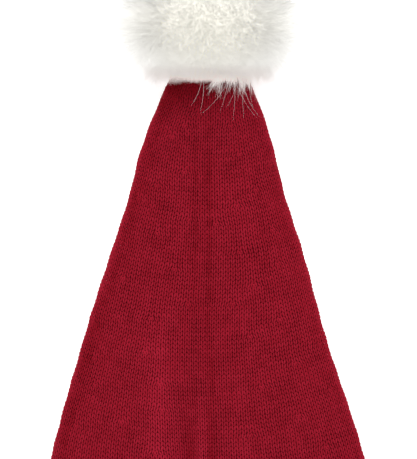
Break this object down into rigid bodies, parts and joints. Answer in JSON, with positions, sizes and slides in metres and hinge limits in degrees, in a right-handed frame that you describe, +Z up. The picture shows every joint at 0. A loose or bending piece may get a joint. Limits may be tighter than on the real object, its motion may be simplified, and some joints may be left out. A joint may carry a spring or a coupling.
{
  "type": "knitted santa hat",
  "caption": "Long knitted cone hat lying flat, open at its hem, its tip gathered and finished with a fur pompom.",
  "frame": {"origin": "middle of the whole hat's footprint, on the surface that it lies on", "axes": "+Z up out of the hat's front, +Y from the open hem towards the pompom, +X across the hat"},
  "size_m": [0.245, 0.4448, 0.0904],
  "materials": {
    "red_knit": "matt plain machine knit in red yarn",
    "cream_fur": "long soft cream fur",
    "tie_yarn": "matt red yarn"
  },
  "bodies": {
    "root": {"crown": "red_knit", "pompom": "cream_fur", "pompom_tie": "tie_yarn"}
  },
  "joints": []
}
